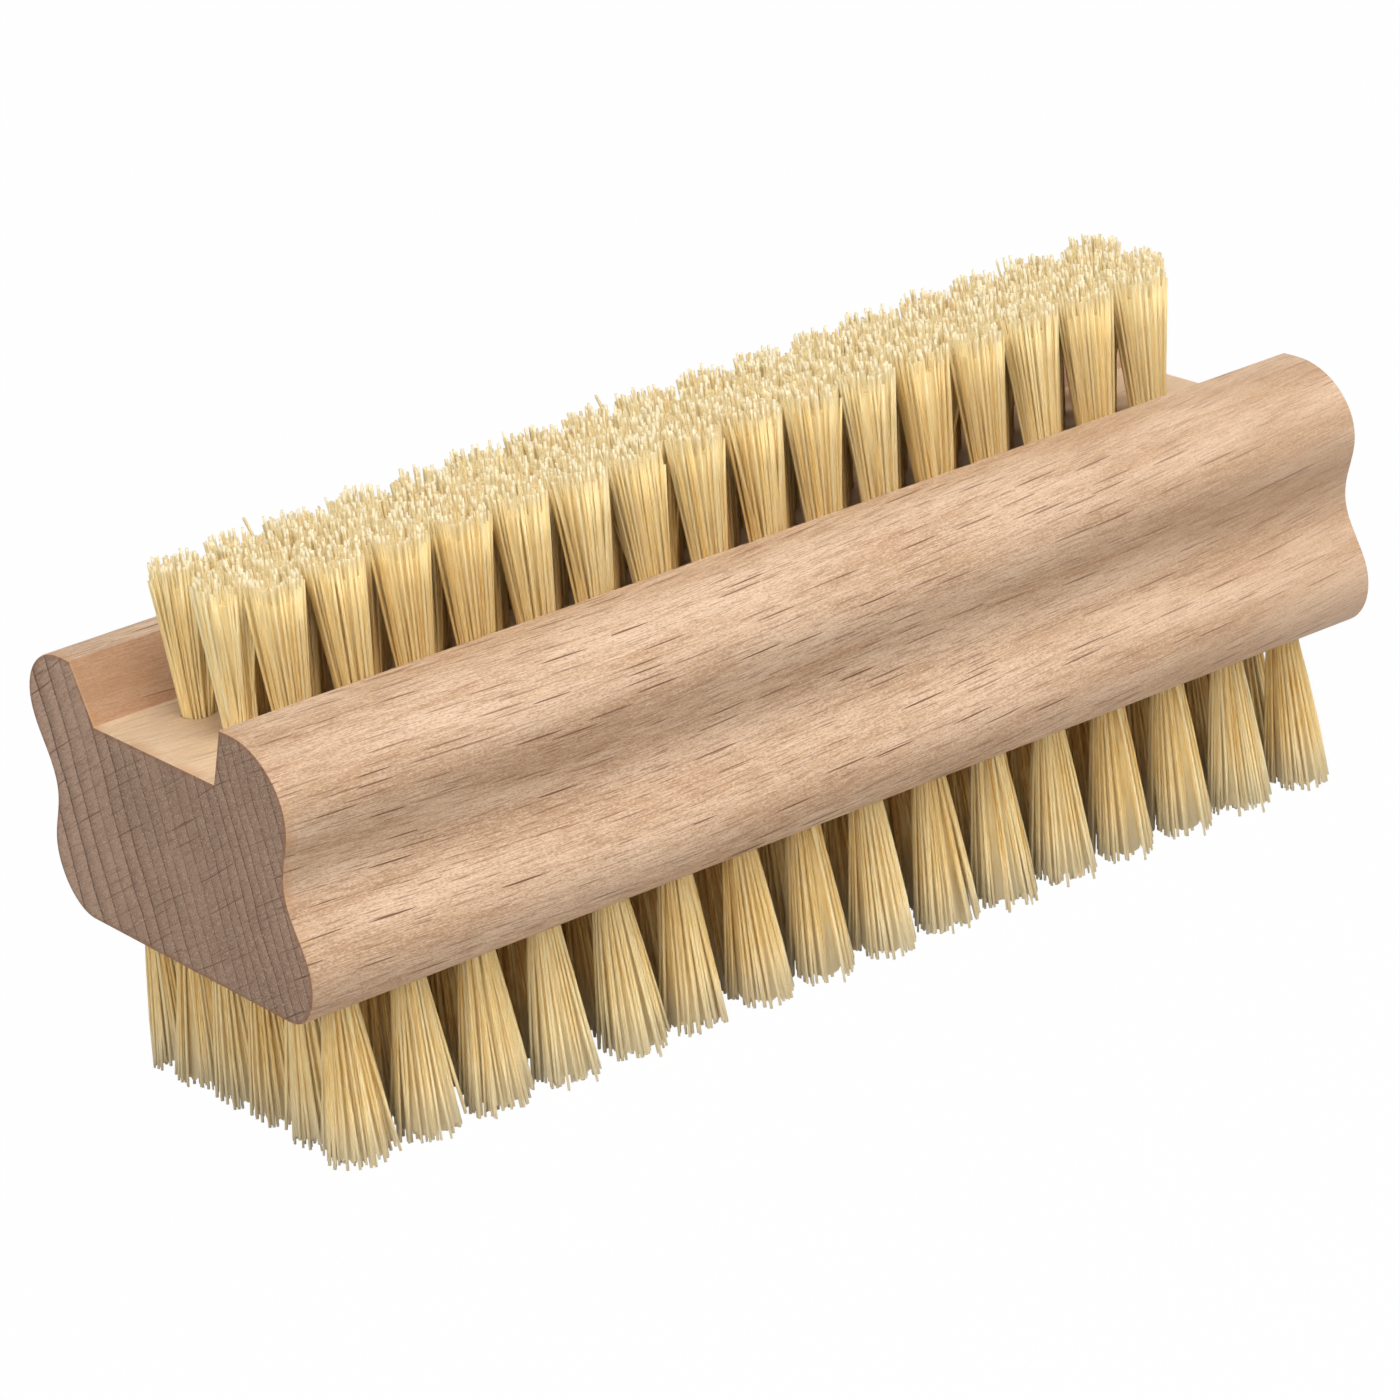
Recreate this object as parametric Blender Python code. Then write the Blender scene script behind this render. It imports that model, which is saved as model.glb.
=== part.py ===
"""Double-sided nail brush: a beech block with plant-fibre tufts set in both faces.

The block is a straight moulding, rounded at its long edges and waisted for the fingers.
A shallow channel along its top carries the narrow brush, and its flat underside carries
the wide one. Every tuft stands in a blind hole. At the bottom of the hole its fibres
fold round a flat anchor wire, and a slice of the backing joins the tufts of one row.

Metres, +Z up. The origin is the middle of the footprint, at the tips the brush stands on.
X runs along the block, and Y across it.
"""

import math
import random

import bmesh
import bpy
from mathutils import Matrix, Vector

MM = 0.001

# Overall sizes.
BLOCK_LENGTH = 95.0 * MM
BLOCK_WIDTH = 36.4 * MM
BLOCK_HEIGHT = 21.0 * MM
TOP_BRISTLE_LENGTH = 12.0 * MM
BOTTOM_BRISTLE_LENGTH = 12.4 * MM

# Cross-section of the block. Heights are above its flat underside.
UNDERSIDE_WIDTH = 28.0 * MM
LOWER_BULGE_HEIGHT = 4.4 * MM
WAIST_HEIGHT = 10.2 * MM
UPPER_BULGE_HEIGHT = 16.2 * MM
WAIST_DEPTH = 1.85 * MM
CREST_WIDTH = 24.4 * MM
CHANNEL_TOP_WIDTH = 21.4 * MM
CHANNEL_FLOOR_WIDTH = 17.2 * MM
CHANNEL_DEPTH = 4.55 * MM
EDGE_STEPS = 6
GROOVE_STEPS = 5

# Tufts of the top brush: rows along X, each row half a pitch from the next. The margin is
# from the end of the block to the first tuft of a long row.
TOP_END_MARGIN = 6.46 * MM
TOP_ROW_SPACING = 3.1 * MM
TOP_ROWS = 4
TOP_TUFTS_IN_LONG_ROW = 17

# Tufts of the bottom brush, in rows across the block. The margins are from the ends and the
# sides of the block to the outermost tufts.
BOTTOM_END_MARGIN = 4.675 * MM
BOTTOM_SIDE_MARGIN = 5.45 * MM
BOTTOM_ROWS = 16
BOTTOM_TUFTS_IN_ROW = 6

# Holes, and the pocket along each row that joins their far ends.
HOLE_RADIUS = 1.33 * MM
HOLE_DEPTH = 7.0 * MM
HOLE_SIDES = 6
POCKET_MARGIN = 0.05 * MM
CLEARANCE = 0.3 * MM
OVERRUN = 1.0 * MM

# What lies in a pocket: the slice of backing that joins a row, and the anchor wire above it.
SLICE_THICKNESS = 0.6 * MM
SLICE_REACH = 1.3 * MM
ANCHOR_THICKNESS = 0.25 * MM
ANCHOR_HEIGHT = 1.2 * MM

# Strands of one tuft: two pass the anchor wire on one side and one on the other.
STRAND_SIDES = 3
STRAND_ROOT_RADIUS = 0.25 * MM
STRAND_TIP_RADIUS = 0.50 * MM
STRAND_ROOT_SPREAD = 0.52 * MM
STRAND_TIP_SPREAD = 1.25 * MM
STRAND_TIP_SHIFT = 0.12 * MM
STRAND_ANGLES = (math.radians(50), math.radians(130), math.radians(270))
STRAND_SEED = 11

# Colour, roughness and how metallic each material is.
BEECH_LOOK = ((0.62, 0.42, 0.29), 0.62, 0.0)
FIBRE_LOOK = ((0.78, 0.62, 0.32), 0.55, 0.0)
STEEL_LOOK = ((0.62, 0.62, 0.60), 0.35, 1.0)

# Heights, depths and pitches that follow from the sizes above.
UNDERSIDE = BOTTOM_BRISTLE_LENGTH
CHANNEL_FLOOR = UNDERSIDE + BLOCK_HEIGHT - CHANNEL_DEPTH
TOP_TIPS = CHANNEL_FLOOR + TOP_BRISTLE_LENGTH
SLICE_DEPTH = HOLE_DEPTH - CLEARANCE - SLICE_THICKNESS
ANCHOR_DEPTH = SLICE_DEPTH - CLEARANCE - ANCHOR_HEIGHT
POCKET_WIDTH = 2 * (HOLE_RADIUS * math.cos(math.pi / HOLE_SIDES) + POCKET_MARGIN)
TOP_PITCH = (BLOCK_LENGTH - 2 * TOP_END_MARGIN) / (TOP_TUFTS_IN_LONG_ROW - 1)
BOTTOM_ROW_SPACING = (BLOCK_LENGTH - 2 * BOTTOM_END_MARGIN) / (BOTTOM_ROWS - 1)
BOTTOM_PITCH = (BLOCK_WIDTH - 2 * BOTTOM_SIDE_MARGIN) / (BOTTOM_TUFTS_IN_ROW - 1)


class TuftRow:
    """A straight row of tufts in one face of the block, and the holes that hold them."""

    def __init__(self, name, mouth, tips, middle, along, pitch, count):
        self.name = name
        self.mouth = mouth
        self.tips = tips
        self.inward = math.copysign(1, mouth - tips)
        self.places = [middle + along * pitch * (index - (count - 1) / 2)
                       for index in range(count)]
        self.turn = math.atan2(along.y, along.x)

    def level(self, depth):
        """The height of what lies at this depth under the mouths of the holes."""
        return self.mouth + self.inward * depth

    def span(self, depth_a, depth_b):
        """The lower and the upper height of what lies between two depths."""
        return sorted((self.level(depth_a), self.level(depth_b)))


def top_rows():
    """Rows along X in the channel. Every second row is one tuft shorter."""
    rows = []
    for index in range(TOP_ROWS):
        middle = Vector((0, TOP_ROW_SPACING * (index - (TOP_ROWS - 1) / 2), 0))
        count = TOP_TUFTS_IN_LONG_ROW - (index + 1) % 2
        rows.append(TuftRow(f"top_tuft_row_{index + 1}", CHANNEL_FLOOR, TOP_TIPS, middle,
                            Vector((1, 0, 0)), TOP_PITCH, count))
    return rows


def bottom_rows():
    """Rows across the underside, from one end of the block to the other."""
    rows = []
    for index in range(BOTTOM_ROWS):
        middle = Vector((BOTTOM_ROW_SPACING * (index - (BOTTOM_ROWS - 1) / 2), 0, 0))
        rows.append(TuftRow(f"bottom_tuft_row_{index + 1:02d}", UNDERSIDE, 0, middle,
                            Vector((0, 1, 0)), BOTTOM_PITCH, BOTTOM_TUFTS_IN_ROW))
    return rows


def clear_scene():
    for thing in list(bpy.data.objects):
        bpy.data.objects.remove(thing, do_unlink=True)


def material(name, colour, roughness, metallic):
    made = bpy.data.materials.new(name)
    made.use_nodes = True
    shader = made.node_tree.nodes["Principled BSDF"]
    shader.inputs["Base Color"].default_value = (*colour, 1.0)
    shader.inputs["Roughness"].default_value = roughness
    shader.inputs["Metallic"].default_value = metallic
    made.diffuse_color = (*colour, 1.0)
    return made


def add_object(name, shape, look=None):
    """Turns a finished bmesh into an object of the scene."""
    mesh = bpy.data.meshes.new(name)
    shape.to_mesh(mesh)
    shape.free()
    thing = bpy.data.objects.new(name, mesh)
    bpy.context.scene.collection.objects.link(thing)
    if look:
        mesh.materials.append(look)
    return thing


def combine(target, tool, operation):
    """Cuts or joins another object's shape, which stays in the scene as a hidden guide."""
    tool.hide_render = True
    tool.display_type = "WIRE"
    step = target.modifiers.new(tool.name, "BOOLEAN")
    step.operation = operation
    step.solver = "EXACT"
    step.object = tool


def add_rod(shape, foot, head, foot_radius, head_radius, sides, turn=0.0):
    """Adds a rod with level ends, which may lean and taper, from its foot up to its head."""
    rise = head - foot
    lean = Matrix.Shear("XY", 4, (rise.x / rise.z, rise.y / rise.z))
    place = Matrix.Translation((foot + head) / 2) @ lean @ Matrix.Rotation(turn, 4, "Z")
    bmesh.ops.create_cone(shape, cap_ends=True, segments=sides, radius1=foot_radius,
                          radius2=head_radius, depth=rise.z, matrix=place)


def add_bar(shape, row, width, low, high, reach):
    """Adds a bar that follows a row and runs past its first and last tuft."""
    first, last = row.places[0], row.places[-1]
    size = Vector(((last - first).length + 2 * reach, width, high - low))
    middle = (first + last) / 2 + Vector((0, 0, (low + high) / 2))
    place = (Matrix.Translation(middle) @ Matrix.Rotation(row.turn, 4, "Z")
             @ Matrix.Diagonal((*size, 1.0)))
    bmesh.ops.create_cube(shape, size=1.0, matrix=place)


def block_section():
    """Half of the cross-section as (y, z) points, from the underside to the channel floor."""
    half_width = BLOCK_WIDTH / 2
    points = []
    flat = UNDERSIDE_WIDTH / 2
    for step in range(EDGE_STEPS):
        turn = math.pi / 2 * step / EDGE_STEPS
        points.append((flat + (half_width - flat) * math.sin(turn),
                       LOWER_BULGE_HEIGHT * (1 - math.cos(turn))))
    for low, high, dips in ((LOWER_BULGE_HEIGHT, WAIST_HEIGHT, True),
                            (WAIST_HEIGHT, UPPER_BULGE_HEIGHT, False)):
        for step in range(GROOVE_STEPS):
            share = step / GROOVE_STEPS
            wave = (1 - math.cos(math.pi * share)) / 2
            dip = wave if dips else 1 - wave
            points.append((half_width - WAIST_DEPTH * dip, low + (high - low) * share))
    crest = CREST_WIDTH / 2
    for step in range(EDGE_STEPS + 1):
        turn = math.pi / 2 * step / EDGE_STEPS
        points.append((crest + (half_width - crest) * math.cos(turn),
                       UPPER_BULGE_HEIGHT + (BLOCK_HEIGHT - UPPER_BULGE_HEIGHT) * math.sin(turn)))
    points.append((CHANNEL_TOP_WIDTH / 2, BLOCK_HEIGHT))
    points.append((CHANNEL_FLOOR_WIDTH / 2, BLOCK_HEIGHT - CHANNEL_DEPTH))
    return points


def block_moulding():
    """The block before drilling: its cross-section drawn out along X."""
    half = block_section()
    outline = half + [(-y, z) for y, z in reversed(half)]
    shape = bmesh.new()
    corners = [shape.verts.new((-BLOCK_LENGTH / 2, y, UNDERSIDE + z)) for y, z in outline]
    end = shape.faces.new(corners)
    drawn = bmesh.ops.extrude_face_region(shape, geom=[end])["geom"]
    moved = [item for item in drawn if isinstance(item, bmesh.types.BMVert)]
    bmesh.ops.translate(shape, vec=(BLOCK_LENGTH, 0, 0), verts=moved)
    bmesh.ops.recalc_face_normals(shape, faces=shape.faces)
    return shape


def hole_cutters(rows):
    shape = bmesh.new()
    for row in rows:
        low, high = row.span(-OVERRUN, ANCHOR_DEPTH)
        flats_to_the_sides = row.turn + math.pi / 2
        for place in row.places:
            add_rod(shape, place + Vector((0, 0, low)), place + Vector((0, 0, high)),
                    HOLE_RADIUS, HOLE_RADIUS, HOLE_SIDES, flats_to_the_sides)
    return shape


def pocket_cutters(rows):
    shape = bmesh.new()
    for row in rows:
        low, high = row.span(ANCHOR_DEPTH - CLEARANCE, HOLE_DEPTH)
        add_bar(shape, row, POCKET_WIDTH, low, high, SLICE_REACH + CLEARANCE)
    return shape


def build_block(rows, look):
    block = add_object("beech_block", block_moulding(), look)
    combine(block, add_object("cut_holes", hole_cutters(rows)), "DIFFERENCE")
    combine(block, add_object("cut_pockets", pocket_cutters(rows)), "DIFFERENCE")


def build_anchor(row, look):
    """The flat wire that pins a row's folded fibres, on edge between their two sides."""
    shape = bmesh.new()
    low, high = row.span(ANCHOR_DEPTH, ANCHOR_DEPTH + ANCHOR_HEIGHT)
    add_bar(shape, row, ANCHOR_THICKNESS, low, high, SLICE_REACH)
    add_object(row.name.replace("tuft_row", "anchor_wire"), shape, look)


def add_tuft(shape, row, place, mirrored, dice):
    """The strands of one tuft, from inside the slice of backing to their level-cut tips."""
    root = Vector((0, 0, row.level(SLICE_DEPTH + SLICE_THICKNESS / 2)))
    tips = Vector((0, 0, row.tips))
    for angle in STRAND_ANGLES:
        turn = row.turn + angle + (math.pi if mirrored else 0)
        outward = Vector((math.cos(turn), math.sin(turn), 0))
        drift = Vector((dice.uniform(-1, 1), dice.uniform(-1, 1), 0)) * STRAND_TIP_SHIFT
        ends = [(place + outward * STRAND_ROOT_SPREAD + root, STRAND_ROOT_RADIUS),
                (place + outward * STRAND_TIP_SPREAD + drift + tips, STRAND_TIP_RADIUS)]
        (foot, foot_radius), (head, head_radius) = sorted(ends, key=lambda end: end[0].z)
        add_rod(shape, foot, head, foot_radius, head_radius, STRAND_SIDES, turn)


def build_tufts(row, look, dice):
    """A row of tufts, joined at the fold by a slice of their backing."""
    backing = bmesh.new()
    low, high = row.span(SLICE_DEPTH, SLICE_DEPTH + SLICE_THICKNESS)
    add_bar(backing, row, POCKET_WIDTH - 2 * CLEARANCE, low, high, SLICE_REACH)
    tufts = add_object(row.name, backing, look)
    strands = bmesh.new()
    for index, place in enumerate(row.places):
        add_tuft(strands, row, place, index % 2 == 1, dice)
    combine(tufts, add_object(f"{row.name}_strands", strands), "UNION")


def main():
    clear_scene()
    beech = material("beech", *BEECH_LOOK)
    fibre = material("tampico_fibre", *FIBRE_LOOK)
    steel = material("anchor_steel", *STEEL_LOOK)
    dice = random.Random(STRAND_SEED)
    rows = top_rows() + bottom_rows()
    build_block(rows, beech)
    for row in rows:
        build_anchor(row, steel)
        build_tufts(row, fibre, dice)


main()
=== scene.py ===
# %% [markdown]
# # A double-sided nail brush
#
# A nail brush of this kind is three things: a block of beech run through a moulding machine,
# tufts of a stiff plant fibre, and the small flat anchors that hold the tufts in their holes.
# The CAD model gives every place and size. This lesson gives it the looks.

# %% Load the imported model
import math
import random

import bmesh
import bpy
from mathutils import Matrix, Vector


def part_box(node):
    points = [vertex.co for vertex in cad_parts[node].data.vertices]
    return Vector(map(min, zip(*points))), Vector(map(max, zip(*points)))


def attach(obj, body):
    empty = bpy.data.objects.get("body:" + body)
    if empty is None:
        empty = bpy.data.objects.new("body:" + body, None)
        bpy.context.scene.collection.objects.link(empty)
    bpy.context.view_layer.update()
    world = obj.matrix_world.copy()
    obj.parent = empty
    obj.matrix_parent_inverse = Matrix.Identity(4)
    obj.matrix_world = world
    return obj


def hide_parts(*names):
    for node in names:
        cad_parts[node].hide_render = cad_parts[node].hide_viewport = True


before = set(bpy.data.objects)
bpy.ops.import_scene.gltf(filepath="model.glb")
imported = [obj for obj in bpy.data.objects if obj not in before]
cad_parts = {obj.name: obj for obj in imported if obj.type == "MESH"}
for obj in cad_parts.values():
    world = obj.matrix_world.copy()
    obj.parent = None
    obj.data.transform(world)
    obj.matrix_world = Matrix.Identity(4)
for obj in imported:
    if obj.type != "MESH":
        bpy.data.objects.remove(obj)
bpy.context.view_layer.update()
MM = 0.001
print("nodes:", len(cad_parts))

# %% [markdown]
# ## Where things are
#
# The block's own box gives its length, its width and the height of its underside. The floor of
# the channel isn't a corner of any box, so its depth below the crest is repeated here.

# %% Sizes read from the model
block_low, block_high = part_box("beech_block")
BLOCK_LENGTH = block_high.x - block_low.x
HALF_WIDTH = block_high.y
UNDERSIDE = block_low.z
CREST = block_high.z
CHANNEL_DEPTH = 4.55 * MM
CHANNEL_FLOOR = CREST - CHANNEL_DEPTH
TOP_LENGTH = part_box("top_tuft_row_1")[1].z - CHANNEL_FLOOR
BOTTOM_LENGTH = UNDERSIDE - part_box("bottom_tuft_row_01")[0].z
print("bristles: top", round(TOP_LENGTH / MM, 2), "mm, bottom", round(BOTTOM_LENGTH / MM, 2), "mm")

# %% [markdown]
# ## A camera like the photographer's
#
# The photograph was taken from a little above, over the near corner, with a long lens from about
# 43 cm away. The three directions below were fitted to the outlines of the block's two ends. A
# camera looks along its own -Z, so its third column is the reverse of the viewing direction.

# %% Camera
RIGHT = Vector((0.81610816, -0.56351523, -0.12813297))
DOWN = Vector((-0.30109476, -0.22537192, -0.92657943))
FORWARD = Vector((0.49326405, 0.7947692, -0.35359934))
EYE = Vector((-212.84, -339.35, 169.31)) * MM
FOCAL_PIXELS = 5736.1
FRAME_PIXELS = 1400
SENSOR = 36.0

camera = bpy.data.objects.new("camera", bpy.data.cameras.new("camera"))
camera.data.sensor_width = SENSOR
camera.data.lens = FOCAL_PIXELS / FRAME_PIXELS * SENSOR
camera.data.clip_start = 0.01
turn = Matrix((RIGHT, -DOWN, -FORWARD)).transposed()
camera.matrix_world = Matrix.Translation(EYE) @ turn.to_4x4()
bpy.context.scene.collection.objects.link(camera)
bpy.context.scene.camera = camera
print("lens:", round(camera.data.lens, 1), "mm")

# %% [markdown]
# ## Shader maths that reads like Python
#
# A wood or fibre look needs a lot of small sums between nodes. A Wire stands for one socket, and
# its operators add the Math nodes, so a mask can be written as a formula. Every other node comes
# from Nodes.node, which sets its settings first and then its sockets.

# %% Helpers for materials
BUMP_STRENGTH = 0.5


class Wire:
    """One output socket of a node tree."""

    def __init__(self, nodes, socket):
        self.nodes = nodes
        self.socket = socket

    def maths(self, operation, first, second=0.0):
        return self.nodes.node("ShaderNodeMath", {"operation": operation}, {0: first, 1: second})

    def __add__(self, other):
        return self.maths("ADD", self, other)

    def __radd__(self, other):
        return self.maths("ADD", other, self)

    def __sub__(self, other):
        return self.maths("SUBTRACT", self, other)

    def __rsub__(self, other):
        return self.maths("SUBTRACT", other, self)

    def __mul__(self, other):
        return self.maths("MULTIPLY", self, other)

    def part(self):
        """What is left after the whole number, for patterns that repeat."""
        return self.maths("FRACT", self)

    def whole(self):
        return self.maths("FLOOR", self)

    def output(self, name):
        """Another output of the same node."""
        return Wire(self.nodes, self.socket.node.outputs[name])


class Nodes:
    """A node tree under construction."""

    def __init__(self, tree):
        self.tree = tree

    def node(self, kind, settings=None, sockets=None, out=0):
        made = self.tree.nodes.new(kind)
        for key, value in (settings or {}).items():
            if key == "stops":
                self.set_stops(made.color_ramp, value)
            else:
                setattr(made, key, value)
        for key, value in (sockets or {}).items():
            self.feed(made.inputs[key], value)
        return Wire(self, made.outputs[out])

    def set_stops(self, ramp, stops):
        for place, colour in stops[1:-1]:
            ramp.elements.new(place)
        for element, (place, colour) in zip(ramp.elements, stops):
            element.position = place
            element.color = (*colour, 1.0)

    def feed(self, socket, value):
        if isinstance(value, Wire):
            self.tree.links.new(value.socket, socket)
        elif isinstance(value, tuple) and socket.type == "RGBA":
            socket.default_value = (*value, 1.0)
        else:
            socket.default_value = value

    def vector(self, operation, first, second=(0.0, 0.0, 0.0), out=0):
        return self.node("ShaderNodeVectorMath", {"operation": operation}, {0: first, 1: second}, out)

    def place(self):
        return self.node("ShaderNodeTexCoord", out="Object")

    def scaled(self, place, lengths):
        """The same place, with these lengths along its three axes measuring 1."""
        return self.vector("MULTIPLY", place, tuple(1 / length for length in lengths))

    def clouds(self, place, detail=2.0):
        return self.node("ShaderNodeTexNoise", {}, {"Vector": place, "Scale": 1.0, "Detail": detail})

    def axis(self, place, name):
        """One of the three numbers of a place."""
        return self.node("ShaderNodeSeparateXYZ", {}, {0: place}, name)

    def between(self, value, low, high):
        """0 below low and 1 above high, with a soft step between."""
        return self.node("ShaderNodeMapRange", {"interpolation_type": "SMOOTHSTEP"},
                         {"Value": value, "From Min": low, "From Max": high})

    def blend(self, mask, first, second):
        return self.node("ShaderNodeMix", {"data_type": "RGBA"}, {0: mask, 6: first, 7: second}, out=2)

    def coats(self, colour, coats):
        """Colours laid over each other in turn, each where its mask says."""
        for mask, coat in coats:
            colour = self.blend(mask, colour, coat)
        return colour

    def mark(self, name):
        """A number that the mesh carries."""
        return self.node("ShaderNodeAttribute", {"attribute_name": name}, out="Fac")

    def seen_white(self):
        """1 for the rays that show the surroundings: camera, mirror and glass rays."""
        seen = self.node("ShaderNodeLightPath", out="Is Camera Ray")
        mirror, glass = seen.output("Is Glossy Ray"), seen.output("Is Transmission Ray")
        return seen.maths("MAXIMUM", seen.maths("MAXIMUM", seen, mirror), glass)


class Paint(Nodes):
    """A material under construction."""

    def __init__(self, name, roughness):
        self.material = bpy.data.materials.new(name)
        self.material.use_nodes = True
        super().__init__(self.material.node_tree)
        self.shader = self.tree.nodes["Principled BSDF"]
        self.shader.inputs["Roughness"].default_value = roughness

    def surface(self, **sockets):
        for key, value in sockets.items():
            self.feed(self.shader.inputs[key.replace("_", " ")], value)

    def bump(self, height, depth):
        return self.node("ShaderNodeBump", {},
                         {"Strength": BUMP_STRENGTH, "Distance": depth, "Height": height})


print("helpers ready")

# %% [markdown]
# ## Wood is a solid pattern
#
# A sawn end and a moulded side are cuts through the same wood, so both materials read one place
# in the wood: how far along the grain, how far along the rays, which run from bark to heart, and
# how far round the rings. In this block the rays slope a little, and the grain rises towards the
# far end in a slight bow.

# %% Places in the wood
RAY_TURN = math.atan(0.48)
GRAIN_RISE = 0.028
GRAIN_BOW = 0.0006
GRAIN_DRIFT = 1.3


def place_in_wood(paint):
    """Millimetres along the grain, along the rays and round the rings."""
    turned = paint.node("ShaderNodeVectorRotate", {"rotation_type": "X_AXIS"},
                        {"Vector": paint.scaled(paint.place(), (MM, MM, MM)), "Angle": RAY_TURN})
    along = paint.axis(turned, "X")
    drift = paint.clouds(paint.scaled(turned, (30, 12, 12)), detail=0.0) - 0.5
    rise = along * (along * GRAIN_BOW + GRAIN_RISE) + drift * GRAIN_DRIFT
    return paint.vector("SUBTRACT", turned, paint.node("ShaderNodeCombineXYZ", {}, {"Z": rise}))


# %% [markdown]
# ## Growth rings
#
# The rings stand nearly upright and lean a little, and they get closer towards the front. One
# ring count is worked out from the place in the block. The part after the point says how far
# through a year's growth a place is, and the whole number gives each ring its own strength.

# %% Ring count
RING_LEAN = 0.22
RINGS_PER_MM = 0.56
RINGS_TIGHTEN = -0.0060
MIDDLE_HEIGHT = 22.9


def growth_rings(paint, waviness):
    """How far through its year's growth a place is, and that ring's own strength."""
    across = paint.axis(paint.scaled(paint.place(), (MM, MM, MM)), "Y")
    height = across.output("Z") - MIDDLE_HEIGHT
    waves = paint.clouds(paint.scaled(paint.place(), (34 * MM, 9 * MM, 9 * MM)), detail=2.0) - 0.5
    radius = across - height * RING_LEAN + waves * waviness
    count = radius * RINGS_PER_MM + radius * radius * RINGS_TIGHTEN
    strength = paint.node("ShaderNodeTexWhiteNoise", {"noise_dimensions": "1D"}, {"W": count.whole()})
    return count.part(), strength


# %% [markdown]
# ## Rays
#
# The many thin dark dashes are what makes wood read as beech. They are its rays, thin ribbons of
# cells that run along the radius. On a side they show as dashes along the grain, and on a sawn
# end as long fine lines across the rings. A Voronoi pattern in the wood's own directions gives
# both: each cell holds one ribbon, which is measured from the cell's point, and the cell's random
# colour says whether it shows and how dark it is. An end is flat, so there the pattern is flat
# too, or else a slice through the cells would cut the long lines short.

# %% Rays
SOFT_FROM = 0.65
FAINTEST = 0.3


def rays(paint, wood, cell, ribbon, share, kind="3D"):
    """1 inside a ray and 0 between, for cells and ribbons of this size in mm."""
    spot = paint.scaled(wood, cell)
    voronoi = paint.node("ShaderNodeTexVoronoi", {"voronoi_dimensions": kind},
                         {"Vector": spot, "Scale": 1.0})
    away = paint.vector("SUBTRACT", spot, voronoi.output("Position"))
    reach = tuple(half / whole for half, whole in zip(ribbon, cell))
    distance = paint.vector("LENGTH", paint.scaled(away, reach), out="Value")
    chance = paint.node("ShaderNodeSeparateColor", {}, {0: voronoi.output("Color")})
    bold = chance.output("Green")
    shown = 1 - paint.between(chance, share * 0.8, share)
    return (1 - paint.between(distance, SOFT_FROM, 1.0)) * (
        shown * (bold * bold * (1 - FAINTEST) + FAINTEST))


# %% [markdown]
# ## Beech along the grain
#
# The moulded faces are pale and pinkish, with paler patches, faint orange bands where a ring
# runs out through the surface, fine streaks, and the rays as dashes in two sizes. Towards the far
# end the grain gets calmer. The channel's walls carry painted shade, darker and oranger, and its
# floor painted light, paler. The mesh marks both. A thin orange tinge follows the near end's edge.
# Each look is a coat with its own mask, and the coats are laid over each other in turn. The three
# numbers of a pattern are its size in mm along the grain, along the rays and round the rings.

# %% Beech sides
SIDE = {
    "darker patch": (0.53, 0.325, 0.185),
    "paler patch": (0.69, 0.475, 0.312),
    "late wood": (0.50, 0.27, 0.13),
    "dark streak": (0.35, 0.195, 0.11),
    "pale streak": (0.82, 0.62, 0.46),
    "pale pore": (0.88, 0.70, 0.53),
    "dark pore": (0.29, 0.15, 0.08),
    "fine ray": (0.27, 0.13, 0.065),
    "bold ray": (0.17, 0.07, 0.03),
    "milled wall": (0.46, 0.235, 0.115),
    "milled floor": (0.93, 0.69, 0.44),
    "end tinge": (0.55, 0.28, 0.12),
}
CALMER_BETWEEN = (5.0, 48.0)
CALMER_BY = 0.45
TINGE_BETWEEN = (-47.4 * MM, -46.4 * MM)


def beech_sides():
    paint = Paint("beech_along_grain", 0.6)
    wood = place_in_wood(paint)
    lively = 1 - paint.between(paint.axis(wood, "X"), *CALMER_BETWEEN) * CALMER_BY
    patches = paint.clouds(paint.scaled(wood, (15, 5, 2.4)), detail=3.0)
    year, strength = growth_rings(paint, 4.5)
    late = paint.between(year, 0.72, 0.95) * (1 - paint.between(year, 0.96, 1.0)) * strength
    streaks = paint.clouds(paint.scaled(wood, (2.0, 0.7, 0.085)), detail=2.0)
    pores = paint.clouds(paint.scaled(wood, (0.26, 0.09, 0.09)), detail=1.0)
    fine = rays(paint, wood, (2.2, 3.0, 0.34), (1.05, 1.4, 0.045), 0.95) * lively
    bold = rays(paint, wood, (4.6, 4.0, 0.74), (2.3, 2.2, 0.072), 0.95) * lively
    near_end = 1 - paint.between(paint.axis(paint.place(), "X"), *TINGE_BETWEEN)
    colour = paint.coats(SIDE["darker patch"], (
        (paint.between(patches, 0.32, 0.68), SIDE["paler patch"]),
        (late * 0.55, SIDE["late wood"]),
        ((1 - paint.between(streaks, 0.34, 0.52)) * lively * 0.46, SIDE["dark streak"]),
        (paint.between(streaks, 0.52, 0.70) * lively * 0.42, SIDE["pale streak"]),
        (paint.between(pores, 0.50, 0.72) * lively * 0.34, SIDE["pale pore"]),
        ((1 - paint.between(pores, 0.28, 0.46)) * lively * 0.45, SIDE["dark pore"]),
        (fine * 0.85, SIDE["fine ray"]),
        (bold, SIDE["bold ray"]),
        # painted shade on the channel's walls and painted light on its floor
        (paint.mark("milled_wall") * 0.6, SIDE["milled wall"]),
        (paint.mark("milled_floor") * 0.5, SIDE["milled floor"]),
        (near_end * paint.between(patches, 0.35, 0.6) * 0.5, SIDE["end tinge"]),
    ))
    height = streaks * 0.4 + pores * 0.5 - bold - fine * 0.4
    paint.surface(Base_Color=colour, Roughness=0.52 + pores * 0.2,
                  Normal=paint.bump(height, 0.06 * MM))
    return paint.material


BEECH_SIDES = beech_sides()
print("nodes in the side grain:", len(BEECH_SIDES.node_tree.nodes))

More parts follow.
